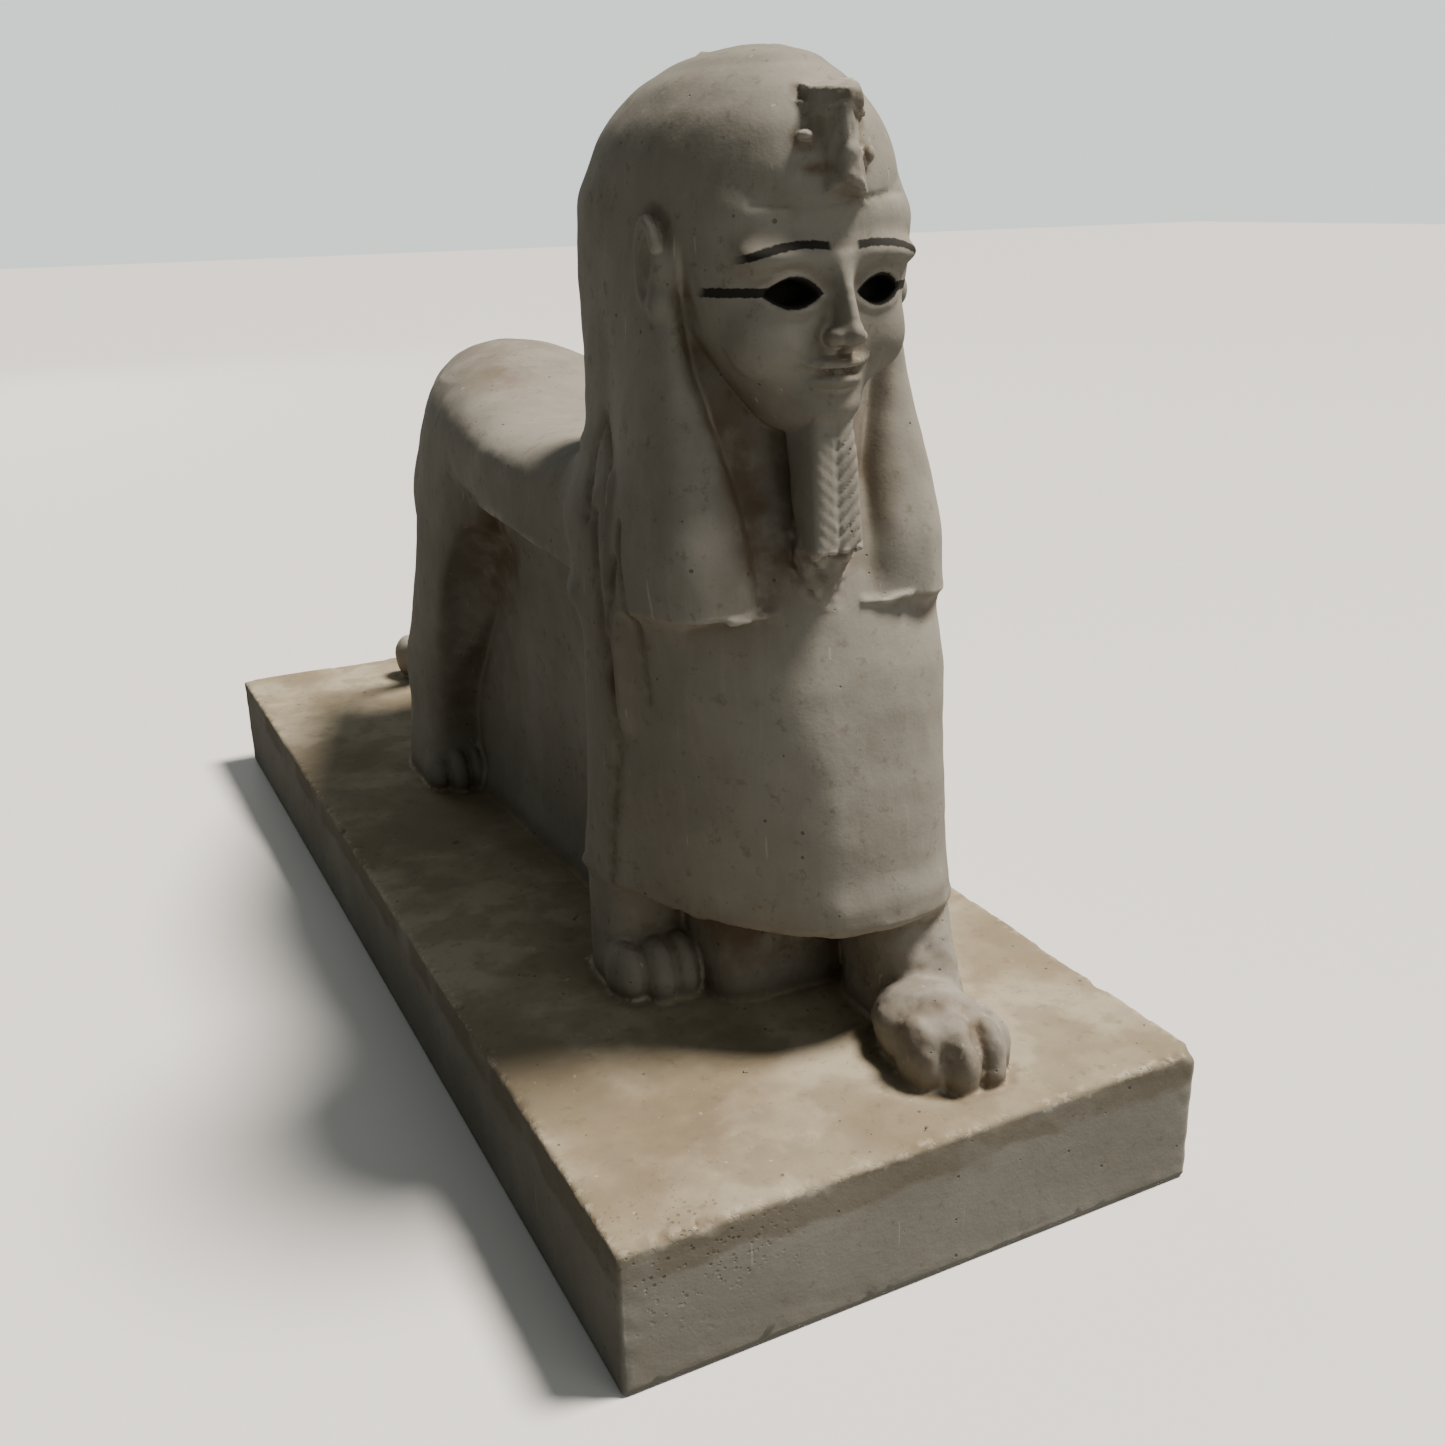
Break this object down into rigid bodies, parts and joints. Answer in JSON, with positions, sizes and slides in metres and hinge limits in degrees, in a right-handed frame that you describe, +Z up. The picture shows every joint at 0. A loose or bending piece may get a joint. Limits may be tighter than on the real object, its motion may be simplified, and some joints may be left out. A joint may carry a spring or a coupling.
{
  "type": "sphinx statue",
  "caption": "Standing sphinx statue in tinted cast plaster, on the rectangular plinth it was cast with; worn, stained and chipped, its brow ornament broken off.",
  "frame": {"origin": "middle of the plinth's underside", "axes": "+Z up, -Y the way the sphinx faces, +X to the sphinx's left"},
  "size_m": [0.146, 0.4, 0.254],
  "materials": {
    "cast_plaster": "matte tinted casting plaster with brown stain in the hollows and worn, chipped edges"
  },
  "bodies": {
    "root": {"sphinx": "cast_plaster"}
  },
  "joints": []
}
